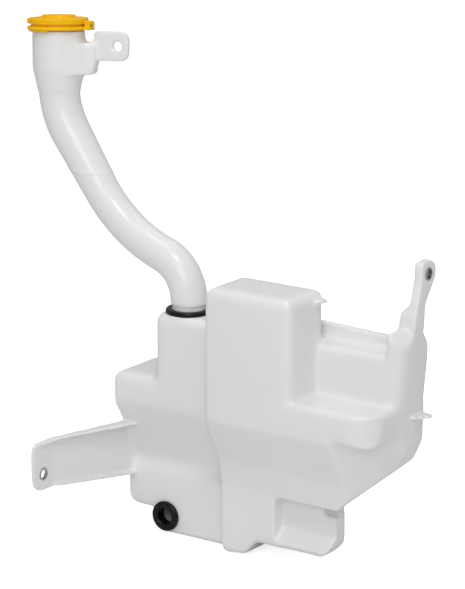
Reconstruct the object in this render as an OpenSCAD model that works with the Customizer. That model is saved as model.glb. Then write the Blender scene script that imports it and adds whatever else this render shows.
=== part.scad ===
/* [Tank] */
// Width of the tall block
block_w = 91; // [80:1:110]
// Depth of the tall block
block_d = 57; // [50:1:66]
// Height of the tall block above the underside
tank_h = 252; // [230:1:280]
// Depth of the tank from its front to its back
tank_d = 91; // [85:1:100]
// Distance from the origin forward to the front wall
front_reach = 60; // [58:1:64]
// Wall thickness of the blown plastic
wall = 2.5; // [2:0.1:3]
// Height of the fold where the front wall turns inward
fold_h = 131; // [124:1:138]
// How far the lower front lies behind the upper front
undercut = 26; // [20:1:30]
// Height of the sloping stretch below the fold
undercut_h = 66; // [60:1:68]

/* [Wing] */
// Height of the open shelf beside the tall block
shelf_h = 161; // [156:1:168]
// Distance from the tall block's left side to the right wall at the fold
wing_w = 172; // [165:1:185]
// Width of the front panel under the shelf
panel_w = 131; // [122:1:138]
// Lean of the right wall from the vertical
wing_draft = 5; // [3:0.5:7]
// Depth of the shelf
shelf_d = 41.5; // [36:0.5:46]
// Height of the ledge behind the shelf
ledge_h = 206; // [196:1:214]
// Rise of the wall behind the ledge above it
slab_h = 10; // [7:1:16]
// Height of the rising underside at the panel's edge
wing_foot_h = 69; // [66:1:74]
// Rise of the underside towards the right
wing_rise = 39; // [34:1:44]
// Rise of the underside towards the back
wing_tilt = 5; // [2:1:8]
// Turn of the slanting face beside the panel from the front
wing_turn = 45; // [40:1:50]
// Lean of that face from the vertical
wing_lean = 16; // [13:1:18]

/* [Tower] */
// Distance from the tall block's left side to the tower's left wall
tower_w = 73; // [70:1:78]
// Height of the tower's top
tower_h = 212; // [204:1:220]
// Depth of the tower's top
tower_d = 44; // [43:1:50]
// How far the tower's front lies behind the block's front
tower_setback = 24; // [20:1:28]
// Distance from the tall block's left side to the shoulder's left wall
shoulder_w = 119; // [112:1:124]
// Height of the shoulder's top
shoulder_h = 151; // [144:1:156]
// How far the shoulder's left wall folds inward below
shoulder_fold = 5; // [3:0.5:7]
// Height of the fold on the tower's front
tower_fold_h = 125; // [114:1:128]
// How far the lower tower front lies behind the upper one
tower_undercut = 17; // [12:1:20]
// Height of the shoulder's underside
shoulder_base_h = 20; // [16:1:26]

/* [Sump and foot] */
// Distance from the tall block's left side to the sump's left wall
sump_w = 86; // [85:1:92]
// Height of the sump's pump wall
sump_h = 58; // [52:1:62]
// Width of the sump's flat bottom under the tall block
sump_right = 25; // [18:1:30]
// Width of the flat bottom behind the foot
pad_w = 54; // [48:1:60]
// Depth of the flat bottom behind the foot
pad_d = 24; // [18:1:30]
// Height of the foot's underside
foot_h = 15.5; // [10:0.5:19]
// Distance from the tall block's left side to the foot's right end
foot_w = 115; // [108:1:120]
// Depth of the foot
foot_d = 31; // [28:1:36]
// Distance from the tall block's left side to the foot pocket
pocket_x = 58; // [50:1:64]
// Depth of the foot pocket
pocket_d = 13; // [10:0.5:15]
// Height of the pocket's roof
pocket_top = 63; // [58:1:65]
// Height of the pocket's front lip
pocket_lip = 6; // [4:0.5:8]
// Rise of the pocket's sloping floor
pocket_rise = 12; // [8:0.5:14]
// Width of the notch in the pocket's back corner
notch_w = 13; // [8:1:16]
// Height of that notch
notch_h = 12; // [8:1:14]

/* [Brackets] */
// Thickness of the upper arm
arm_t = 8.5; // [7:0.5:11]
// Height of the upper bolt hole above the ledge
arm_hole_h = 67.5; // [60:0.5:80]
// Distance of the upper bolt hole behind the origin
arm_hole_y = 21; // [17:0.5:24]
// Radius of the upper arm's head
arm_head_r = 12; // [10:0.5:14]
// Length of the lower arm's sloping stretch
strut_l = 88; // [78:1:98]
// Swing of the lower arm away from straight ahead
strut_swing = 9; // [5:1:14]
// Length of the lower arm's tip plate
tip_l = 30; // [27:1:34]
// Thickness of the lower arm's plate
strut_t = 3; // [2.5:0.5:6]
// Height of the lower arm's upper edge at its root
strut_top = 102; // [96:1:106]
// Rise of that edge toward the tip
strut_rise = 4.5; // [2:0.5:6]
// Height of the lower arm at its root
strut_root_h = 52; // [46:1:58]
// Height of the lower arm at its tip
strut_tip_h = 41; // [36:1:44]
// Width of the lower arm's flanges at the root
flange_root = 13; // [9:1:16]
// Width of the lower arm's flanges at the tip
flange_tip = 4; // [3:0.5:6]
// Height of the lower bolt hole above the underside
strut_hole_h = 76; // [72:0.5:80]
// Outside diameter of the steel bushes
bush_od = 10.5; // [9:0.1:12]
// Bore of the steel bushes
bush_id = 8.4; // [6:0.1:8.6]
// How far each bush stands out of its plate at both faces
bush_proud = 0.2; // [0.1:0.1:1]

/* [Filler neck] */
// Distance of the neck's foot left of the tall block
neck_x = 49; // [45:0.5:51]
// Outside diameter of the neck's spigot in the seal
spigot_d = 30.5; // [28:0.5:32]
// Outside diameter of the neck's lower bend
neck_foot_d = 33; // [32.5:0.5:35]
// Outside diameter of the neck below the collar
neck_top_d = 37; // [35:0.5:40]
// Outside diameter of the filler collar
collar_d = 48; // [46:0.5:52]
// Wall thickness of the neck
neck_wall = 2.2; // [1.8:0.1:2.8]
// Depth of the neck's foot below the tower's top
spigot = 16; // [12:1:22]
// Height of the neck's shoulder above the tower's top
step_h = 8; // [7:0.5:9]
// Straight height of the neck above the tower's top
neck_rise = 11; // [10:1:16]
// Lean of the neck's lower run from the vertical
run_lean = 72; // [64:1:76]
// Bend radius at the neck's foot
foot_bend_r = 39.5; // [34:0.5:50]
// Lean of the neck's upper run from the vertical
upper_lean = 35; // [30:1:40]
// Radius of the long middle bend
mid_bend_r = 140; // [120:5:170]
// Length of the straight upper run
upper_run = 56.5; // [46:0.5:66]
// Bend radius below the collar
top_bend_r = 72; // [60:1:90]
// Length of the cone that widens into the collar
flare_h = 17; // [12:1:24]
// Height of the filler collar
collar_h = 34; // [30:1:40]
// Lean of the filler collar
head_lean = 6.5; // [0:0.5:10]
// Compass angle that the filler collar leans to
lean_dir = 125; // [90:5:160]

/* [Neck tab] */
// Compass angle of the tab and the lid's hinge around the collar
tab_dir = 12; // [0:1:25]
// Distance of the tab's hole from the collar's axis
tab_hole_r = 59; // [54:1:64]
// Diameter of the tab's hole
tab_hole_d = 9; // [7:0.1:10]
// Thickness of the tab
tab_t = 5; // [4:0.5:6]
// Width of the tab's plate
tab_w = 22; // [20:1:26]
// Height of the tab's plate
tab_h = 27; // [24:1:30]
// Height of the tab's hole below the collar's rim
tab_drop = 14; // [13:1:16]
// Width of the hollow web where it leaves the collar
web_w = 38; // [30:1:42]
// Width of that web at the tab
web_end = 13; // [10:1:18]
// Height of the collar's rim above the web
web_drop = 11; // [9:0.5:14]

/* [Seals] */
// Outside diameter of the neck seal's flange
seal_d = 42; // [41:0.5:44]
// Height of the neck seal's flange
seal_h = 3.5; // [3:0.5:6]
// Wall of the neck seal inside the tower's hole
seal_wall = 4; // [3:0.1:4.5]
// Outside diameter of the pump grommet's flange
grommet_d = 28; // [26:0.5:30]
// Thickness of the pump grommet's flange
grommet_t = 4; // [3:0.5:6]
// Bore of the pump grommet
grommet_bore = 15; // [12:0.5:16]
// Diameter of the hole that the grommet fills
grommet_hole = 21; // [20:0.5:22]
// Distance of the grommet's axis left of the tall block
grommet_x = 71; // [69:0.5:71]
// Height of the grommet's axis above the underside
grommet_h = 16.5; // [16:0.5:19]

/* [Cap] */
// Outside diameter of the cap collar's flange
cap_flange_d = 56.8; // [54:0.2:60]
// Thickness of that flange
cap_flange_t = 3.2; // [2.6:0.1:4]
// Depth of the finger lip under the flange's front
lip_h = 1.6; // [1:0.1:3]
// Depth of the cap collar's sleeve in the neck
sleeve_h = 14; // [10:1:20]
// Wall of that sleeve and its rim
sleeve_wall = 2; // [1.6:0.1:2.4]
// Height of the rim above the flange
rim_h = 5.2; // [4.5:0.1:6]
// Outside diameter of the lid
lid_d = 54; // [52.5:0.5:56]
// Thickness of the lid's top
lid_t = 2; // [1.6:0.1:2.6]
// Height of the lid's skirt over all
skirt_h = 5.3; // [4.8:0.1:5.6]
// Wall of the lid's skirt
skirt_wall = 1.7; // [1.4:0.1:2]
// Depth of the plug ring under the lid
plug_h = 3.5; // [2.5:0.5:5]
// Diameter of the raised disc on the lid
disc_d = 32; // [26:1:38]
// Height of the raised disc
disc_h = 2.4; // [1.5:0.1:3]
// Distance of the hinge pin from the cap's axis
hinge_r = 31; // [31:0.5:34]
// Diameter of the hinge pin moulded on the lid
pin_d = 2.6; // [2.2:0.1:3.6]
// Width of the lid's hinge lug
lug_w = 6; // [5:0.5:9]
// Thickness of each hinge ear
ear_t = 2.5; // [2:0.5:4]
// Width of the thumb tab opposite the hinge
thumb_w = 14; // [10:1:18]
// Gap between the lid and the cap collar
gap = 0.3; // [0.2:0.05:0.4]

/* [Hidden] */
$fn = 64;

reach = 600;
corner_steps = 5;
milk = "#e6e6e3";
yellow = "#f2b40a";
black = "#1c1c1e";
steel = "#8f9296";

// Depths of the main faces; the origin lies under the sump
y_front = -front_reach;
y_back = tank_d - front_reach;
y_low = y_front + undercut;
y_tower = y_front + tower_setback;
y_pump = y_tower + tower_undercut;
y_wing = y_front + shelf_d;
y_tower_back = y_tower + tower_d;
y_foot_back = y_low + foot_d;
y_pad = y_back - pad_d;
// Neighbouring blocks share this much
lap = 12;
// Thickness of the moulding tabs
tab_fin = 3;
// Round seats stand out this much around the rubber parts
boss_rim = 0.5;
// Axis of the filler neck's foot and the hole for its seal
neck_y = y_tower + tower_d / 2 + 1;
seal_hole = spigot_d + 2 * seal_wall;

// Right wall of the wing at a height
function right_x(h) = wing_w + (h - fold_h) * tan(wing_draft);

// Plane outlines: corners are [a, b, radius], listed counter-clockwise
function unit(v) = v / norm(v);
function flat(p) = [p[0], p[1]];
function left_of(d) = [-d[1], d[0]];
function turn(d, e) = d[0] * e[1] - d[1] * e[0];
function swing(a) = a > 180 ? a - 360 : (a < -180 ? a + 360 : a);
function box(a0, a1, b0, b1, r) =
    [[a0, b0, r[0]], [a1, b0, r[1]], [a1, b1, r[2]], [a0, b1, r[3]]];

function fillet(a, b, c) =
    let (p = unit(flat(a) - flat(b)),
         q = unit(flat(c) - flat(b)),
         half = acos(p * q) / 2,
         hub = flat(b) + unit(p + q) * b[2] / sin(half),
         start = flat(b) + p * b[2] / tan(half) - hub,
         end = flat(b) + q * b[2] / tan(half) - hub,
         from = atan2(start[1], start[0]),
         sweep = swing(atan2(end[1], end[0]) - from))
    [for (i = [0:corner_steps])
        hub + b[2] * [cos(from + sweep * i / corner_steps), sin(from + sweep * i / corner_steps)]];

function rounded(pts) =
    let (n = len(pts))
    [for (i = [0:n - 1])
        each pts[i][2] > 0 ? fillet(pts[(i + n - 1) % n], pts[i], pts[(i + 1) % n]) : [flat(pts[i])]];

// Outline moved inward by t, with its corner radii following
function inset(pts, t) =
    let (n = len(pts))
    [for (i = [0:n - 1])
        let (v = flat(pts[i]),
             d = unit(v - flat(pts[(i + n - 1) % n])),
             e = unit(flat(pts[(i + 1) % n]) - v),
             m = (left_of(d) + left_of(e)) / (1 + d * e),
             r = turn(d, e) > 0 ? max(pts[i][2] - t, 0.5) : pts[i][2] + t)
        [v[0] + m[0] * t, v[1] + m[1] * t, pts[i][2] > 0 ? r : 0]];

module along_y(pts) {
    translate([0, reach, 0])
        rotate([90, 0, 0])
            linear_extrude(2 * reach)
                polygon(rounded(pts));
}

module along_x(pts) {
    translate([-reach, 0, 0])
        rotate([90, 0, 90])
            linear_extrude(2 * reach)
                polygon(rounded(pts));
}

module along_z(pts) {
    translate([0, 0, -reach])
        linear_extrude(2 * reach)
            polygon(rounded(pts));
}

// Solid that fits a front, a side and a plan outline, each moved inward by t
module block(front, side, plan, t) {
    intersection() {
        along_y(inset(front, t));
        along_x(inset(side, t));
        along_z(inset(plan, t));
    }
}

module tall_block(t) {
    y1 = y_front + block_d;
    block(box(0, block_w, fold_h, tank_h, [0, 0, 11, 10]),
          box(y_front, y1, fold_h, tank_h, [0, 0, 8, 10]),
          box(0, block_w, y_front, y1, [5, 9, 10, 9]), t);
}

module shelf_block(t) {
    block([[0, fold_h, 0], [right_x(fold_h), fold_h, 6], [right_x(shelf_h), shelf_h, 6], [0, shelf_h, 0]],
          box(y_front, y_back, fold_h, shelf_h, [8, 5, 5, 6]),
          box(0, right_x(shelf_h), y_front, y_back, [5, 26, 7, 10]), t);
}

// Everything below a plane raised by t
module below(t) {
    translate([-reach, -reach, t - 2 * reach])
        cube(2 * reach);
}

// Below the fold the front slopes inward and the right side runs off at an angle
module trunk(t) {
    top = shelf_h - 6;
    wing_edge = 9;
    difference() {
        block([[0, foot_h, 0], [wing_w, foot_h, 0], [right_x(top), top, 0], [0, top, 0]],
              [[y_low, foot_h, 6], [y_back, foot_h, 6], [y_back, top, 0], [y_front, top, 0],
               [y_front, fold_h, 8], [y_front + 0.8 * undercut, fold_h - 0.62 * undercut_h, 20],
               [y_low, fold_h - undercut_h, 12]],
              box(0, right_x(top), y_front, y_back, [5, 0, 7, 10]), t);
        translate([panel_w, y_front, fold_h])
            rotate([0, 90 - wing_lean, 90 + wing_turn]) {
                below(t);
                translate([0, wing_edge - (wing_w - panel_w) / cos(wing_turn), 0])
                    rotate([-wing_turn / 2, 0, 0])
                        below(t);
            }
        translate([panel_w, y_low, wing_foot_h])
            rotate([wing_tilt, -wing_rise, 0]) {
                below(t);
                translate([(wing_w - panel_w) / cos(wing_rise) - 7, 0, 0])
                    rotate([0, (wing_rise - 90) / 2, 0])
                        below(t);
            }
    }
}

module foot(t) {
    foot_x = sump_right + 4;
    top = pocket_top - 4;
    block(box(foot_x, foot_w, foot_h, top, [0, 14, 10, 0]),
          box(y_low, y_foot_back, foot_h, top, [7, 20, 0, 0]),
          box(foot_x, foot_w, y_low, y_foot_back, [0, 9, 5, 0]), t);
}

module column(t) {
    slope = sump_right + 11;
    top = foot_h + 40;
    block([[0, 0, 4], [9, 0, 2], [13, 2.5, 2], [sump_right, 2.5, 4], [slope, foot_h, 5],
           [slope, top, 0], [0, top, 0]],
          box(y_low, y_back, 0, top, [7, 6, 0, 0]),
          box(0, slope, y_low, y_back, [2, 0, 0, 10]), t);
}

module rear_pad(t) {
    top = foot_h + 30;
    block(box(0, pad_w, 0, top, [0, 6, 6, 0]),
          box(y_pad, y_back, 0, top, [6, 6, 0, 0]),
          box(0, pad_w, y_pad, y_back, [0, 8, 8, 0]), t);
}

module sump(t) {
    block(box(-sump_w, lap, 0, sump_h, [14, 0, 0, 8]),
          box(y_pump, y_back, 0, sump_h, [4, 6, 0, 7]),
          box(-sump_w, lap, y_pump, y_back, [3, 0, 0, 10]), t);
}

// Flat round seat for the pump grommet
module pump_boss(t) {
    translate([-grommet_x, y_pump + t, grommet_h])
        rotate([-90, 0, 0])
            cylinder(r = grommet_d / 2 + boss_rim - t, h = lap + t);
}

// Flat round seat for the neck seal
module seal_boss(t) {
    translate([-neck_x, neck_y, tower_h - lap])
        cylinder(r = seal_d / 2 + boss_rim - t, h = lap - t);
}

module shoulder(t) {
    low_x = shoulder_fold - shoulder_w;
    block([[low_x, shoulder_base_h, 11], [lap, shoulder_base_h, 0], [lap, shoulder_h, 0],
           [-shoulder_w, shoulder_h, 9], [-shoulder_w, tower_fold_h, 9], [low_x, tower_fold_h - 22, 9]],
          [[y_pump, shoulder_base_h, 7], [y_back, shoulder_base_h, 7], [y_back, shoulder_h, 10],
           [y_tower, shoulder_h, 9], [y_tower, tower_fold_h, 14], [y_pump + 7, sump_h + 8, 6],
           [y_pump, sump_h, 6]],
          box(-shoulder_w, lap, y_tower, y_back, [5, 0, 0, 12]), t);
}

module tower(t) {
    base = shoulder_h - 1.2 * lap;
    block(box(-tower_w, lap, base, tower_h, [0, 0, 0, 8]),
          box(y_tower, y_tower_back, base, tower_h, [0, 0, 6, 8]),
          box(-tower_w, lap, y_tower, y_tower_back, [10, 0, 0, 14]), t);
}

// Inside of the right wall, which leans outward with its rounded corners
module leaning(gap, t) {
    translate([right_x(ledge_h) - gap, 0, ledge_h])
        rotate([0, wing_draft, 0])
            along_z(inset(box(-wing_w, 0, y_wing, y_back, [0, 13, 8, 0]), t));
}

module upper_wing(t) {
    base = shelf_h - lap;
    x0 = block_w - lap;
    x1 = right_x(ledge_h) + lap;
    intersection() {
        block(box(x0, x1, base, ledge_h, [0, 0, 0, 0]),
              box(y_wing, y_back, base, ledge_h, [0, 0, 8, 6]),
              box(x0, x1, y_wing - lap, y_back + lap, [0, 0, 0, 0]), t);
        leaning(0, t);
    }
}

module back_slab(t) {
    base = ledge_h - lap;
    top = ledge_h + slab_h;
    x0 = block_w - 2 * lap;
    x1 = right_x(ledge_h) - 2 * lap;
    y0 = y_wing + 24;
    y1 = y0 + lap;
    block([[x0, base, 0], [x1, base, 0], [x1, top, 5], [x0, top + 5, 5]],
          [[y0, base, 0], [y1, base, 0], [y1, top - 4, 3], [y0 + 4, top + 5, 3], [y0, top + 5, 2]],
          box(x0, x1, y0, y1, [0, 0, 5, 5]), t);
}

// Outer face of the upper arm and the blister that carries it
arm_foot_h = ledge_h + 22;
arm_bolt_h = ledge_h + arm_hole_h;
arm_x = right_x(arm_foot_h + 3);
ramp_turn = 60;
ramp_lean = 29;

// A slanting face runs across the blister's outer front corner
module arm_blister(t) {
    base = ledge_h - lap;
    x0 = arm_x - 18.5;
    x1 = arm_x + lap;
    difference() {
        intersection() {
            block([[x0, base, 0], [x1, base, 0], [x1, arm_foot_h + 6, 0], [x0, arm_foot_h - 2, 3]],
                  [[y_wing, base, 0], [y_back - 3, base, 0], [y_back - 3, ledge_h, 6],
                   [arm_hole_y - 5, arm_foot_h - 5, 5], [arm_hole_y - 5, arm_foot_h + 4, 3],
                   [y_wing, arm_foot_h + 4, 4]],
                  box(x0, x1, y_wing, y_back, [2, 0, 0, 4]), t);
            leaning(0.3, t);
        }
        translate([arm_x - 14, y_wing, arm_foot_h - 4.5])
            rotate([0, 90 + ramp_lean, 90 + ramp_turn])
                below(t);
    }
}

// Solid, squeezed-flat part of the moulding that carries the upper bolt hole
module arm() {
    inner = arm_x - arm_t;
    head = arm_bolt_h + arm_head_r;
    base = arm_foot_h - 9;
    near = arm_hole_y - arm_head_r;
    far = arm_hole_y + arm_head_r;
    intersection() {
        along_y([[inner - 9, base, 0], [right_x(base) - 0.6, base, 0], [arm_x, arm_foot_h + 4, 0],
                 [arm_x, head, 2], [inner, head, 2], [inner, arm_foot_h + 22, 8], [inner - 8, arm_foot_h + 13, 8], [inner - 9, arm_foot_h, 0]]);
        along_z(box(inner - 10, arm_x, y_wing, y_back + lap, [3, 3, 3, 3]));
        along_x([[near - 11, base, 0], [arm_hole_y - 6, base, 0], [arm_hole_y - 4.5, arm_bolt_h - 26, 10],
                 [far, arm_bolt_h - 4, 12], [far, head, arm_head_r - 1], [near, head, 6],
                 [near, arm_bolt_h - 4, 20], [near - 9, arm_bolt_h - 35, 20]]);
    }
}

// Lower arm: a flanged strut from the shoulder's corner and a flat tip plate
strut_x = shoulder_fold - shoulder_w + 2;
strut_y = y_pump + 4;
flange_t = 2.6;
strut_root = strut_top - strut_root_h;
strut_end = strut_top - strut_tip_h;
tip_x = strut_x - (strut_l + lap) * sin(strut_swing) + strut_t * cos(strut_swing) / 2;
tip_y = strut_y - (strut_l + lap) * cos(strut_swing);
tip_top = strut_top + strut_rise;
tip_r = 7;
strut_hole_y = tip_y - 0.51 * tip_l;

module strut_flange(h0, h1, root) {
    len = strut_l + lap;
    translate([0, 0, h0])
        rotate([0, atan2(h0 - h1, len), 0])
            linear_extrude(flange_t)
                polygon([[0, 0], [len, 0], [len, strut_t + flange_tip], [0, strut_t + root]]);
}

module strut() {
    len = strut_l + lap;
    translate([strut_x, strut_y, 0])
        rotate([0, 0, -90 - strut_swing]) {
            translate([0, strut_t, 0])
                rotate([90, 0, 0])
                    linear_extrude(strut_t)
                        polygon([[0, strut_root], [len, strut_end], [len, tip_top - flange_t / 2],
                                 [0, strut_top - flange_t / 2]]);
            strut_flange(strut_root, strut_end, flange_root / 2);
            strut_flange(strut_top - flange_t, tip_top - flange_t, flange_root);
        }
    intersection() {
        translate([tip_x, 0, 0])
            cube([strut_t, 2 * reach, 2 * reach], center = true);
        along_x(box(tip_y - tip_l, tip_y + 2, strut_end, tip_top, [12, 0, 0, tip_r]));
    }
    translate([tip_x, tip_y, tip_top - 1.2 * flange_t])
        linear_extrude(flange_t)
            polygon([[0, 2], [0, tip_r - tip_l], [strut_t, tip_r - tip_l], [strut_t / 2 + flange_tip, 2]]);
}

// Thin moulding tabs left where the mould halves meet
module moulding_tabs() {
    translate([block_w + 1, y_front + block_d - 14, tank_h - 10])
        linear_extrude(tab_fin)
            polygon([[-8, -9], [4, -2], [6, 6], [-8, 14]]);
    translate([right_x(shelf_h - 8), y_back - 14, shelf_h - 15])
        linear_extrude(tab_fin)
            polygon([[-6, -14], [5, -12], [5, -8], [9, -8], [9, -3], [13, -3], [13, 4], [-6, 8]]);
}

module pocket(t) {
    side = [[y_low - lap, foot_h + pocket_lip - lap * pocket_rise / pocket_d, 0],
            [y_low + pocket_d, foot_h + pocket_lip + pocket_rise, 2], [y_low + pocket_d, pocket_top, 3],
            [y_low - lap, pocket_top, 0]];
    intersection() {
        along_x(inset(side, -t));
        along_y(box(pocket_x - t, foot_w + lap, foot_h, pocket_top + t, [5, 0, 0, 5]));
    }
    translate([foot_w - notch_w - t, y_low, pocket_top - notch_h - t])
        cube([notch_w + lap, pocket_d + 9 + t, notch_h + 2 * t]);
}

module tank_form(t) {
    difference() {
        union() {
            tall_block(t);
            shelf_block(t);
            trunk(t);
            foot(t);
            column(t);
            rear_pad(t);
            sump(t);
            shoulder(t);
            tower(t);
            upper_wing(t);
            back_slab(t);
            pump_boss(t);
            seal_boss(t);
            arm_blister(t);
        }
        pocket(t);
    }
}

module bush_seat(x, y, h) {
    translate([x, y, h])
        rotate([0, 90, 0])
            cylinder(d = bush_od, h = 4 * strut_t, center = true);
}

module tank() {
    color(milk)
        difference() {
            union() {
                difference() {
                    tank_form(0);
                    tank_form(wall);
                }
                difference() {
                    arm();
                    arm_blister(wall);
                }
                difference() {
                    strut();
                    shoulder(wall);
                }
                difference() {
                    moulding_tabs();
                    tall_block(wall);
                    shelf_block(wall);
                }
            }
            translate([-neck_x, neck_y, tower_h - 2 * wall])
                cylinder(d = seal_hole, h = 4 * wall);
            translate([-grommet_x, y_pump - wall, grommet_h])
                rotate([-90, 0, 0])
                    cylinder(d = grommet_hole, h = 3 * wall);
            bush_seat(arm_x - arm_t / 2, arm_hole_y, arm_bolt_h);
            bush_seat(tip_x, strut_hole_y, strut_hole_h);
        }
}

// Stations along the neck's centre line: [x, height, lean]
function ahead(s, l) = [s[0] - l * sin(s[2]), s[1] + l * cos(s[2]), s[2]];
function bend_out(s, r, lean) =
    [s[0] + r * (cos(lean) - cos(s[2])), s[1] + r * (sin(lean) - sin(s[2])), lean];
function bend_back(s, r, lean) =
    [s[0] + r * (cos(s[2]) - cos(lean)), s[1] + r * (sin(s[2]) - sin(lean)), lean];
neck_foot = [-neck_x, tower_h - spigot, 0];
foot_bend = ahead(neck_foot, spigot + neck_rise);
mid_bend = bend_out(foot_bend, foot_bend_r, run_lean);
run_start = bend_back(mid_bend, mid_bend_r, upper_lean);
top_bend = ahead(run_start, upper_run);
neck_head = bend_back(top_bend, top_bend_r, 0);
rim = flare_h + collar_h;
collar_r = collar_d / 2;
swell = 0.15;

module pipe(s, l, r1, r2) {
    translate([s[0], neck_y, s[1]])
        rotate([0, -s[2], 0])
            cylinder(r1 = r1, r2 = r2, h = l);
}

// Bend about a hub, drawn from one angle to another
module elbow(hub_x, hub_h, bend_r, from, to, r) {
    translate([hub_x, neck_y, hub_h])
        rotate([90, -from, 0])
            rotate_extrude(angle = to - from)
                translate([bend_r, 0])
                    circle(r = r);
}

// Leaning frame of the filler collar: +X points to the tab and the hinge
module head_frame() {
    translate([neck_head[0], neck_y, neck_head[1]])
        rotate([0, 0, lean_dir])
            rotate([0, head_lean, 0])
                rotate([0, 0, tab_dir - lean_dir])
                    children();
}

// Neck from its foot to its rim, with its radii reduced by t and both ends run on by over.
// Each bend and the head is a little wider than the run that ends in it.
module neck_form(t, over) {
    spigot_r = spigot_d / 2 - t;
    foot_r = neck_foot_d / 2 - t;
    top_r = neck_top_d / 2 - t;
    tuck = 1;
    extra = asin(tuck / mid_bend_r);
    pipe(ahead(neck_foot, -over), spigot + step_h + over + t + tuck, spigot_r, spigot_r);
    pipe(ahead(neck_foot, spigot + step_h + t), neck_rise - step_h - t + tuck, foot_r, foot_r);
    elbow(foot_bend[0] - foot_bend_r, foot_bend[1], foot_bend_r, 0, run_lean, foot_r + swell);
    elbow(mid_bend[0] + mid_bend_r * cos(run_lean), mid_bend[1] + mid_bend_r * sin(run_lean),
          mid_bend_r, 180 + upper_lean - extra, 180 + run_lean + extra, foot_r);
    pipe(run_start, upper_run + tuck, foot_r + swell, top_r);
    elbow(neck_head[0] + top_bend_r, neck_head[1], top_bend_r, 180, 180 + upper_lean, top_r + swell);
    head_frame()
        rotate_extrude()
            polygon([[0, -4], [top_r + 1, -4], [collar_r - t, flare_h], [collar_r - t, rim + over],
                     [0, rim + over]]);
}

module upright(pts, depth) {
    translate([0, depth / 2, 0])
        rotate([90, 0, 0])
            linear_extrude(depth)
                polygon(rounded(pts));
}

// Hollow web from the collar to the tab, moved inward by t
module tab_web(t) {
    low = rim - 42;
    top = rim - web_drop;
    mid = collar_r * 0.6;
    end = collar_r + 15;
    thin = end - 6;
    root_y = web_w / 2;
    end_y = web_end / 2;
    intersection() {
        along_y(inset([[0, low, 0], [end - 3, low + 2, 3], [end, low + 15, 4],
                       [end, top, 4], [0, top, 0]], t));
        along_z(inset([[0, -root_y, 0], [mid, -root_y, 8], [thin, -end_y, 6], [end, -end_y, 3],
                       [end, end_y, 3], [thin, end_y, 6], [mid, root_y, 8], [0, root_y, 0]], t));
    }
}

module neck_tab() {
    hole_z = rim - tab_drop;
    end = tab_hole_r + tab_w / 2;
    upright(box(collar_r + 11, end, hole_z - tab_h / 2, hole_z + tab_h / 2, [0, 8, 8, 3]), tab_t);
}

module filler_neck() {
    color(milk)
        difference() {
            union() {
                neck_form(0, 0);
                head_frame() {
                    tab_web(0);
                    neck_tab();
                }
            }
            neck_form(neck_wall, 1);
            head_frame()
                tab_web(neck_wall);
            head_frame()
                translate([tab_hole_r, 0, rim - tab_drop])
                    rotate([90, 0, 0])
                        cylinder(d = tab_hole_d, h = 4 * tab_t, center = true);
        }
}

module neck_seal() {
    in_r = spigot_d / 2;
    hole_r = seal_hole / 2;
    color(black)
        translate([-neck_x, neck_y, tower_h])
            rotate_extrude()
                polygon([[in_r, -wall - 4], [hole_r - 1.5, -wall - 4], [hole_r, -wall - 1.5], [hole_r, 0],
                         [seal_d / 2, 0], [seal_d / 2, seal_h - 1.2], [seal_d / 2 - 1.2, seal_h],
                         [in_r, seal_h]]);
}

module pump_grommet() {
    in_r = grommet_bore / 2;
    hole_r = grommet_hole / 2;
    out_r = grommet_d / 2;
    color(black)
        translate([-grommet_x, y_pump, grommet_h])
            rotate([-90, 0, 0])
                rotate_extrude()
                    polygon([[in_r + 1.5, -grommet_t], [out_r - 1.2, -grommet_t], [out_r, 1.2 - grommet_t],
                             [out_r, 0], [hole_r, 0], [hole_r, wall], [hole_r + 1, wall],
                             [hole_r + 1, wall + 1.5], [hole_r - 0.8, wall + 4], [in_r, wall + 4],
                             [in_r, 1.5 - grommet_t]]);
}

// Heights of the cap above the neck's rim
rim_top = cap_flange_t + rim_h;
lid_under = rim_top + gap;
lid_top = lid_under + lid_t;
lug_r = pin_d / 2 + 1;
pin_h = cap_flange_t + lug_r + 2 * gap;
ear_y = lug_w / 2 + gap;
pin_play = 0.08;
lip_from = -155;
lip_to = -85;
hinge_w = 2 * (ear_y + ear_t);
bore_r = collar_r - neck_wall - sleeve_wall;
rim_r = lid_d / 2 - skirt_wall - gap;

module cap_frame() {
    head_frame()
        translate([0, 0, rim])
            children();
}

module crosswise(x, z, d, len) {
    translate([x, 0, z])
        rotate([90, 0, 0])
            cylinder(d = d, h = len, center = true);
}

module hinge_ears() {
    difference() {
        union() {
            translate([collar_r, -hinge_w / 2, 0])
                cube([hinge_r + lug_r - collar_r, hinge_w, cap_flange_t]);
            for (side = [-1, 1])
                translate([0, side * (ear_y + ear_t / 2), 0]) {
                    translate([hinge_r - lug_r, -ear_t / 2, 0])
                        cube([2 * lug_r, ear_t, pin_h]);
                    crosswise(hinge_r, pin_h, 2 * lug_r, ear_t);
                }
        }
        crosswise(hinge_r, pin_h, pin_d + 2 * pin_play, 2 * hinge_w);
    }
}

module cap_collar() {
    groove_r = bore_r + sleeve_wall;
    lip_in = collar_r + gap;
    lip_out = cap_flange_d / 2 - 0.5;
    color(yellow)
        cap_frame() {
            rotate_extrude()
                polygon([[bore_r, -sleeve_h], [collar_r - neck_wall, -sleeve_h], [collar_r - neck_wall, 0],
                         [cap_flange_d / 2 - 0.8, 0], [cap_flange_d / 2, 0.8],
                         [cap_flange_d / 2, cap_flange_t - 0.8], [cap_flange_d / 2 - 0.8, cap_flange_t],
                         [rim_r, cap_flange_t], [rim_r, rim_top],
                         [rim_r - sleeve_wall, rim_top], [rim_r - sleeve_wall, cap_flange_t],
                         [groove_r, cap_flange_t], [groove_r, rim_top - 1], [bore_r, rim_top - 1]]);
            hinge_ears();
            rotate([0, 0, lip_from])
                rotate_extrude(angle = lip_to - lip_from)
                    polygon([[lip_in, 1], [lip_in + 1, -lip_h], [lip_out - 1, -lip_h], [lip_out, 1]]);
        }
}

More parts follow.
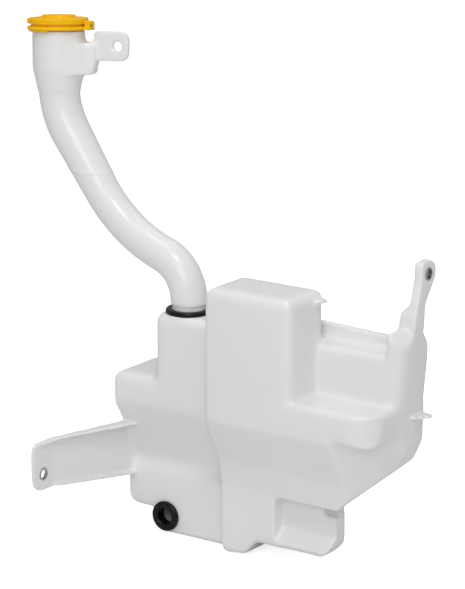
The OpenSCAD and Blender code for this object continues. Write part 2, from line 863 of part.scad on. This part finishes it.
module cap_lid() {
    lid_r = lid_d / 2;
    skirt_z = lid_top - skirt_h;
    plug_r = bore_r - gap;
    thumb_root = sqrt(pow(lid_r - skirt_wall / 2, 2) - pow(thumb_w / 2, 2));
    color(yellow)
        cap_frame() {
            rotate_extrude()
                polygon([[0, lid_under], [plug_r - 1.6, lid_under], [plug_r - 1.6, lid_under - plug_h],
                         [plug_r, lid_under - plug_h], [plug_r, lid_under], [lid_r - skirt_wall, lid_under],
                         [lid_r - skirt_wall, skirt_z], [lid_r, skirt_z], [lid_r, lid_top - 0.8],
                         [lid_r - 0.8, lid_top], [disc_d / 2, lid_top], [disc_d / 2 - 1, lid_top + disc_h],
                         [0, lid_top + disc_h]]);
            translate([lid_r - skirt_wall / 2, -lug_w / 2, skirt_z])
                cube([hinge_r - lid_r + skirt_wall / 2, lug_w, lug_r + pin_h - skirt_z]);
            crosswise(hinge_r, pin_h, 2 * lug_r, lug_w);
            crosswise(hinge_r, pin_h, pin_d, hinge_w);
            difference() {
                translate([-lid_r - 1.5, -thumb_w / 2, skirt_z])
                    cube([lid_r - thumb_root + 3, thumb_w, skirt_h - 1]);
                translate([0, 0, skirt_z - 1])
                    cylinder(r = lid_r - skirt_wall / 2, h = skirt_h + 1);
            }
        }
}

module bush(x, y, h, len) {
    color(steel)
        translate([x, y, h])
            rotate([0, 90, 0])
                difference() {
                    cylinder(d = bush_od, h = len, center = true);
                    cylinder(d = bush_id, h = 2 * len, center = true);
                }
}

module upper_bush() {
    bush(arm_x - arm_t / 2, arm_hole_y, arm_bolt_h, arm_t + 2 * bush_proud);
}

module lower_bush() {
    bush(tip_x, strut_hole_y, strut_hole_h, strut_t + 2 * bush_proud);
}

tank();
filler_neck();
neck_seal();
pump_grommet();
cap_collar();
cap_lid();
upper_bush();
lower_bush();
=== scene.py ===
import bpy
import bmesh
import numpy as np
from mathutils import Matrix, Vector


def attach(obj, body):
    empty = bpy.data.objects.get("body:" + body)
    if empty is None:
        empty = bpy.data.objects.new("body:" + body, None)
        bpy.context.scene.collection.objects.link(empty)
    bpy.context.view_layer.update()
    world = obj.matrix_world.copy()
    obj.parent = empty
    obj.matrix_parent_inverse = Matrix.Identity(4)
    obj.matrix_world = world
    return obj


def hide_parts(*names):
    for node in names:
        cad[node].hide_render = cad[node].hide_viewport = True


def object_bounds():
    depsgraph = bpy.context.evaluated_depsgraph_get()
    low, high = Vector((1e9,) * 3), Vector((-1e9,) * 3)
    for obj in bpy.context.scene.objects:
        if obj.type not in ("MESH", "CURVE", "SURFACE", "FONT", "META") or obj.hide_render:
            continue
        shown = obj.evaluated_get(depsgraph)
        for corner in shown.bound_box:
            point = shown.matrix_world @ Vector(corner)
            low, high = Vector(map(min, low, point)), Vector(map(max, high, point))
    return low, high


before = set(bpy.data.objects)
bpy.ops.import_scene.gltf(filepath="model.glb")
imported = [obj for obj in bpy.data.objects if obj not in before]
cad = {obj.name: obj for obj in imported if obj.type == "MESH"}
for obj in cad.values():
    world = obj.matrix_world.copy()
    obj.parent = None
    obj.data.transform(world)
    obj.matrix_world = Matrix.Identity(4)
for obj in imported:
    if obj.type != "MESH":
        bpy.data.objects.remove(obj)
cadLow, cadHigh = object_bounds()   # box of the CAD model
scene = bpy.context.scene
scene.view_settings.view_transform = "Standard"
mm = 0.001
print("frame loaded:", len(cad), "nodes")


# finishes

noiseLook = {"rough": 0.55, "start": 0.2, "stop": 0.8}      # start and stop cut off the noise's rare ends


def startFinish(name):
    finish = bpy.data.materials.new(name)
    finish.use_nodes = True
    tree = finish.node_tree
    shader = tree.nodes["Principled BSDF"]
    coords = tree.nodes.new("ShaderNodeTexCoord")
    return finish, tree, shader, coords.outputs["Object"]


def cloudy(tree, coords, scale, detail=0.0, stretch=None):
    if stretch:
        squeeze = tree.nodes.new("ShaderNodeMapping")
        squeeze.inputs["Scale"].default_value = stretch
        tree.links.new(coords, squeeze.inputs["Vector"])
        coords = squeeze.outputs["Vector"]
    noise = tree.nodes.new("ShaderNodeTexNoise")
    noise.inputs["Scale"].default_value = scale
    noise.inputs["Detail"].default_value = detail
    noise.inputs["Roughness"].default_value = noiseLook["rough"]
    tree.links.new(coords, noise.inputs["Vector"])
    return noise.outputs["Fac"]


def tint(tree, shader, source, low, high):
    node = tree.nodes.new("ShaderNodeValToRGB")
    node.color_ramp.interpolation = "EASE"
    node.color_ramp.elements[0].position = noiseLook["start"]
    node.color_ramp.elements[0].color = (*low, 1)
    node.color_ramp.elements[1].position = noiseLook["stop"]
    node.color_ramp.elements[1].color = (*high, 1)
    tree.links.new(source, node.inputs["Fac"])
    tree.links.new(node.outputs["Color"], shader.inputs["Base Color"])


def polish(tree, shader, source, low, high):
    node = tree.nodes.new("ShaderNodeMapRange")
    node.interpolation_type = "SMOOTHSTEP"
    node.inputs["From Min"].default_value = noiseLook["start"]
    node.inputs["From Max"].default_value = noiseLook["stop"]
    node.inputs["To Min"].default_value = low
    node.inputs["To Max"].default_value = high
    tree.links.new(source, node.inputs["Value"])
    tree.links.new(node.outputs["Result"], shader.inputs["Roughness"])


def dents(tree, shader, source, strength, depth):
    node = tree.nodes.new("ShaderNodeBump")
    node.inputs["Strength"].default_value = strength
    node.inputs["Distance"].default_value = depth
    tree.links.new(source, node.inputs["Height"])
    tree.links.new(node.outputs["Normal"], shader.inputs["Normal"])


milky = {"thin": (0.810, 0.811, 0.808), "thick": (0.835, 0.836, 0.833), "wallScale": 9,
         "gloss": (0.42, 0.48), "glossScale": 16, "ior": 1.5, "skin": 0.42, "skinGloss": 0.13,
         "peel": 0.006, "peelScale": 40, "peelDepth": 0.4 * mm}


def milkyPlastic():
    finish, tree, shader, coords = startFinish("milkyPlastic")
    wall = cloudy(tree, coords, milky["wallScale"])     # uneven wall of the blow moulding
    tint(tree, shader, wall, milky["thin"], milky["thick"])
    polish(tree, shader, cloudy(tree, coords, milky["glossScale"]), *milky["gloss"])
    shader.inputs["IOR"].default_value = milky["ior"]
    shader.inputs["Coat Weight"].default_value = milky["skin"]
    shader.inputs["Coat Roughness"].default_value = milky["skinGloss"]
    dents(tree, shader, cloudy(tree, coords, milky["peelScale"]), milky["peel"], milky["peelDepth"])
    return finish


yellow = {"deep": (0.92, 0.485, 0.001), "bright": (0.97, 0.545, 0.002), "flowScale": 60, "flowDetail": 3.0,
          "gloss": (0.32, 0.40), "glossScale": 160, "glossDetail": 4.0, "sheen": 0.2,
          "grain": 0.05, "grainScale": 900, "grainDetail": 2.0, "grainDepth": 0.2 * mm}


def yellowPlastic():
    finish, tree, shader, coords = startFinish("yellowPlastic")
    flow = cloudy(tree, coords, yellow["flowScale"], yellow["flowDetail"])
    tint(tree, shader, flow, yellow["deep"], yellow["bright"])
    worn = cloudy(tree, coords, yellow["glossScale"], yellow["glossDetail"])
    polish(tree, shader, worn, *yellow["gloss"])
    shader.inputs["Specular IOR Level"].default_value = yellow["sheen"]
    grain = cloudy(tree, coords, yellow["grainScale"], yellow["grainDetail"])
    dents(tree, shader, grain, yellow["grain"], yellow["grainDepth"])
    return finish


rubber = {"dark": (0.002, 0.002, 0.002), "dusty": (0.006, 0.006, 0.006),
          "bloomScale": 130, "bloomDetail": 4.0, "gloss": (0.22, 0.32), "sheen": 0.22,
          "grain": 0.12, "grainScale": 1500, "grainDetail": 2.0, "grainDepth": 0.2 * mm}


def blackRubber():
    finish, tree, shader, coords = startFinish("blackRubber")
    bloom = cloudy(tree, coords, rubber["bloomScale"], rubber["bloomDetail"])
    tint(tree, shader, bloom, rubber["dark"], rubber["dusty"])
    polish(tree, shader, bloom, *rubber["gloss"])
    shader.inputs["Specular IOR Level"].default_value = rubber["sheen"]
    grain = cloudy(tree, coords, rubber["grainScale"], rubber["grainDetail"])
    dents(tree, shader, grain, rubber["grain"], rubber["grainDepth"])
    return finish


# the turn values are the marks that turning leaves around a bush
steel = {"dark": (0.34, 0.34, 0.35), "bright": (0.58, 0.58, 0.60), "gloss": (0.22, 0.34),
         "turnScale": 900, "turnDetail": 2.0, "turnStretch": (1.0, 0.15, 0.15),
         "turnMarks": 0.08, "turnDepth": 0.1 * mm}


def bushSteel():
    finish, tree, shader, coords = startFinish("bushSteel")
    turned = cloudy(tree, coords, steel["turnScale"], steel["turnDetail"], steel["turnStretch"])
    tint(tree, shader, turned, steel["dark"], steel["bright"])
    polish(tree, shader, turned, *steel["gloss"])
    shader.inputs["Metallic"].default_value = 1.0
    dents(tree, shader, turned, steel["turnMarks"], steel["turnDepth"])
    return finish


finishes = {"milky_plastic": milkyPlastic(), "yellow_plastic": yellowPlastic(),
            "black_rubber": blackRubber(), "bush_steel": bushSteel()}
print("finishes made:", ", ".join(finishes))


# pieces

weldGap = 0.002 * mm    # closer points of the CAD mesh are one point


def copyOf(nodeName, pieceName):
    mesh = cad[nodeName].data.copy()
    mesh.materials.clear()
    shape = bmesh.new()
    shape.from_mesh(mesh)
    bmesh.ops.remove_doubles(shape, verts=shape.verts, dist=weldGap)
    shape.to_mesh(mesh)
    shape.free()
    if "custom_normal" in mesh.attributes:
        mesh.attributes.remove(mesh.attributes["custom_normal"])
    piece = bpy.data.objects.new(pieceName, mesh)
    scene.collection.objects.link(piece)
    return piece


def settle(piece):
    # bakes the modifiers into the mesh
    graph = bpy.context.evaluated_depsgraph_get()
    baked = bpy.data.meshes.new_from_object(piece.evaluated_get(graph))
    piece.modifiers.clear()
    old = piece.data
    piece.data = baked
    bpy.data.meshes.remove(old)


def dress(piece, nodeName, body, slot):
    piece.data.materials.clear()
    piece.data.materials.append(finishes[slot])
    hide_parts(nodeName)
    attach(piece, body)
    print(piece.name, "has", len(piece.data.polygons), "faces")


# the two blow mouldings

stride = 0.5                            # share of the way that a point drifts in one pass
ridgeLook = {"from": 0.1, "over": 0.5}  # mm an outer edge sinks before it is held back, and until fully


def readMesh(mesh):
    points = np.empty(3 * len(mesh.vertices), dtype=np.float32)
    mesh.vertices.foreach_get("co", points)
    edges = np.empty(2 * len(mesh.edges), dtype=np.int32)
    mesh.edges.foreach_get("vertices", edges)
    return points.reshape(-1, 3).astype(float) / mm, edges.reshape(-1, 2)


def movePoints(mesh, points):
    # gives back the normals at the new places
    mesh.vertices.foreach_set("co", (points * mm).ravel())
    mesh.update()
    normals = np.empty(3 * len(points), dtype=np.float32)
    mesh.vertex_normals.foreach_get("vector", normals)
    return normals.reshape(-1, 3).astype(float)


def relax(points, edges, soft, passes):
    # each point drifts toward the middle of its neighbours
    a, b = edges[:, 0], edges[:, 1]
    total = len(points)
    count = (np.bincount(a, minlength=total) + np.bincount(b, minlength=total))[:, None]
    for _ in range(passes):
        middle = np.stack([np.bincount(a, points[b, k], total) + np.bincount(b, points[a, k], total)
                           for k in range(3)], axis=1) / count
        points = points + stride * soft[:, None] * (middle - points)
    return points


def within(points, zone):
    if "bore" in zone:      # round zone about an axis
        axis = zone["axis"]
        across = [k for k in range(3) if k != axis]
        middle = np.array(zone["bore"])
        near = np.linalg.norm(points[:, across] - middle[across], axis=1) < zone["radius"]
        return near & (np.abs(points[:, axis] - middle[axis]) < zone["reach"])
    return np.all((points > zone["low"]) & (points < zone["high"]), axis=1)


def softness(points, look):
    soft = np.ones(len(points))
    for zone in look["stiff"]:
        inside = within(points, zone)
        soft[inside] = np.minimum(soft[inside], zone["soft"])
    return soft


def blown(nodeName, pieceName, look):
    # even skin over the solid, then softened the way a blow moulding comes out
    piece = copyOf(nodeName, pieceName)
    skin = piece.modifiers.new("skin", "REMESH")
    skin.mode = "VOXEL"
    skin.voxel_size = look["voxel"]
    settle(piece)
    mesh = piece.data
    points, edges = readMesh(mesh)
    soft = softness(points, look)
    loose = relax(points, edges, soft, look["passes"])
    normals = movePoints(mesh, loose)

    # outer edges give way less than the hollows fill
    out = np.sum((loose - points) * normals, axis=1)
    ridge = np.clip((-out - ridgeLook["from"]) / ridgeLook["over"], 0, 1)
    for zone in look["rounded"]:
        ridge[within(points, zone)] = 0
    loose = loose - (look["crisp"] * ridge * out)[:, None] * normals
    loose = relax(loose, edges, soft, look["last"])

    for seam in look["seams"]:      # faint line left by the mould
        bead = np.exp(-((loose[:, 2] - seam["height"]) / seam["width"]) ** 2)
        loose = loose + (seam["rise"] * bead)[:, None] * movePoints(mesh, loose)
    movePoints(mesh, loose)
    count = 2 * len(mesh.polygons)
    if count > look["triangles"]:
        thin = piece.modifiers.new("thin", "DECIMATE")
        thin.ratio = look["triangles"] / count
        settle(piece)
    piece.data.shade_smooth()
    dress(piece, nodeName, "reservoir", "milky_plastic")


# zones are in mm, and a stiff zone keeps its edges crisper the lower its soft value is
tankLook = {"voxel": 1.25 * mm, "passes": 40, "last": 6, "crisp": 0.6, "triangles": 180000, "seams": [],
            "rounded": [{"low": (-80, -40, 135), "high": (-60, 12, 220)}],      # left edge of the tower
            "stiff": [
    {"low": (-150, -155, 40), "high": (-97, -24, 120), "soft": 0.07},       # lower arm
    {"low": (140, -60, 208), "high": (220, 40, 300), "soft": 0.14},         # upper arm and its foot
    {"low": (91.3, -60, 240), "high": (140, 40, 250), "soft": 0.08},        # moulding tabs
    {"low": (173.5, -60, 143), "high": (220, 40, 151), "soft": 0.08},
    {"low": (52, -60, 18), "high": (124, -18, 68), "soft": 0.2},            # pocket in the foot
    {"low": (98, -40, 10), "high": (128, 6, 68), "soft": 0.12},             # end of the foot
    {"bore": (-49, -13, 212), "axis": 2, "radius": 24, "reach": 6, "soft": 0.15},       # seat of the seal
    {"bore": (-71, -19, 16.5), "axis": 1, "radius": 15, "reach": 9, "soft": 0.1},       # seat of the grommet
    {"bore": (180.7, 21, 273.5), "axis": 0, "radius": 8, "reach": 8, "soft": 0.05},     # seats of the bushes
    {"bore": (-126.2, -129.1, 76), "axis": 0, "radius": 8, "reach": 8, "soft": 0.05}]}
blown("tank", "tankMoulding", tankLook)

neckLook = {"voxel": 1.0 * mm, "passes": 26, "last": 6, "crisp": 0.5, "triangles": 170000,
            "seams": [{"height": 328, "width": 1.4, "rise": 0.3}], "rounded": [],
            "stiff": [
    {"low": (-158, -60, 420), "high": (-100, 40, 470), "soft": 0.25},       # tab
    {"low": (-80, -60, 190), "high": (-20, 40, 238), "soft": 0.1}]}         # spigot and foot step
blown("filler_neck", "neckMoulding", neckLook)


# cap, rubber and steel

flatAngle = 0.01    # radians, flatter joins between faces are dissolved
sharpAngle = 0.6    # radians, steeper edges are broken


def softEdged(nodeName, pieceName, look, body, slot):
    # moulded or turned piece with its sharp edges broken
    piece = copyOf(nodeName, pieceName)
    shape = bmesh.new()
    shape.from_mesh(piece.data)
    bmesh.ops.dissolve_limit(shape, angle_limit=flatAngle, verts=shape.verts, edges=shape.edges)
    shape.to_mesh(piece.data)
    shape.free()
    edge = piece.modifiers.new("edge", "BEVEL")
    edge.limit_method = "ANGLE"
    edge.angle_limit = sharpAngle
    edge.width = look["edge"]
    edge.segments = look["rounds"]
    edge.use_clamp_overlap = True
    settle(piece)
    piece.data.shade_smooth()
    piece.data.set_sharp_from_angle(angle=sharpAngle)
    dress(piece, nodeName, body, slot)


capLook = {"edge": 0.5 * mm, "rounds": 3}
softEdged("cap_collar", "capCollar", capLook, "reservoir", "yellow_plastic")
softEdged("cap_lid", "capLid", capLook, "lid", "yellow_plastic")

rubberLook = {"edge": 0.5 * mm, "rounds": 3}
softEdged("neck_seal", "neckSeal", rubberLook, "reservoir", "black_rubber")
softEdged("pump_grommet", "pumpGrommet", rubberLook, "reservoir", "black_rubber")

bushLook = {"edge": 0.25 * mm, "rounds": 2}
softEdged("upper_bush", "upperBush", bushLook, "reservoir", "bush_steel")
softEdged("lower_bush", "lowerBush", bushLook, "reservoir", "bush_steel")


# studio, in metres and watts

studio = {"world": 0.40, "aim": (0.0, 0.0, 0.2),
          "lamps": [{"name": "front", "size": 1.2, "power": 19, "from": (1.30, -2.37, 1.47)},
                    {"name": "high", "size": 0.8, "power": 21, "from": (0.91, -1.30, 2.75)},
                    {"name": "top", "size": 1.2, "power": 14, "from": (-0.55, -0.25, 3.15)},
                    {"name": "back", "size": 1.2, "power": 7, "from": (0.0, 1.50, 2.80)}]}


def hangLamps():
    world = bpy.data.worlds.new("studio")
    world.use_nodes = True
    sky = world.node_tree.nodes["Background"]
    sky.inputs["Color"].default_value = (1, 1, 1, 1)
    sky.inputs["Strength"].default_value = studio["world"]
    scene.world = world
    for look in studio["lamps"]:
        lamp = bpy.data.lights.new(look["name"], "AREA")
        lamp.shape = "SQUARE"
        lamp.size = look["size"]
        lamp.energy = look["power"]
        box = bpy.data.objects.new(look["name"], lamp)
        scene.collection.objects.link(box)
        box.location = look["from"]
        aim = Vector(studio["aim"]) - box.location
        box.rotation_euler = aim.to_track_quat("-Z", "Y").to_euler()


floorLook = {"half": 12.0, "drop": 0.2 * mm, "color": (0.80, 0.80, 0.80), "rough": 0.9, "lift": 0.75}


def layFloor():
    half = floorLook["half"]
    corners = [(-half, -half, 0), (half, -half, 0), (half, half, 0), (-half, half, 0)]
    floorMesh = bpy.data.meshes.new("floor")
    floorMesh.from_pydata(corners, [], [(0, 1, 2, 3)])
    floor = bpy.data.objects.new("floor", floorMesh)
    scene.collection.objects.link(floor)
    floor.location.z = cadLow.z - floorLook["drop"]
    paper = bpy.data.materials.new("floorPaper")
    paper.use_nodes = True
    tree = paper.node_tree
    shader = tree.nodes["Principled BSDF"]
    shader.inputs["Base Color"].default_value = (*floorLook["color"], 1)
    shader.inputs["Roughness"].default_value = floorLook["rough"]
    shader.inputs["Specular IOR Level"].default_value = 0.0
    path = tree.nodes.new("ShaderNodeLightPath")    # the paper is lifted to white for the camera alone
    lift = tree.nodes.new("ShaderNodeMath")
    lift.operation = "MULTIPLY"
    lift.inputs[1].default_value = floorLook["lift"]
    tree.links.new(path.outputs["Is Camera Ray"], lift.inputs[0])
    shader.inputs["Emission Color"].default_value = (1, 1, 1, 1)
    tree.links.new(lift.outputs[0], shader.inputs["Emission Strength"])
    floorMesh.materials.append(paper)


layFloor()
hangLamps()

camera = {"place": (1.4719, -2.1091, 0.9165), "along": (-0.5557, 0.7906, -0.2571), "farEnd": 50,
          "film": 36, "focal": 3000, "picture": 589}     # film in mm, focal length and height in pixels
lens = bpy.data.cameras.new("camera")
lens.sensor_width = camera["film"]
lens.lens = camera["film"] * camera["focal"] / camera["picture"]
lens.clip_end = camera["farEnd"]
viewer = bpy.data.objects.new("camera", lens)
viewer.location = camera["place"]
viewer.rotation_euler = Vector(camera["along"]).to_track_quat("-Z", "Y").to_euler()
scene.collection.objects.link(viewer)
scene.camera = viewer
print("studio and camera set")
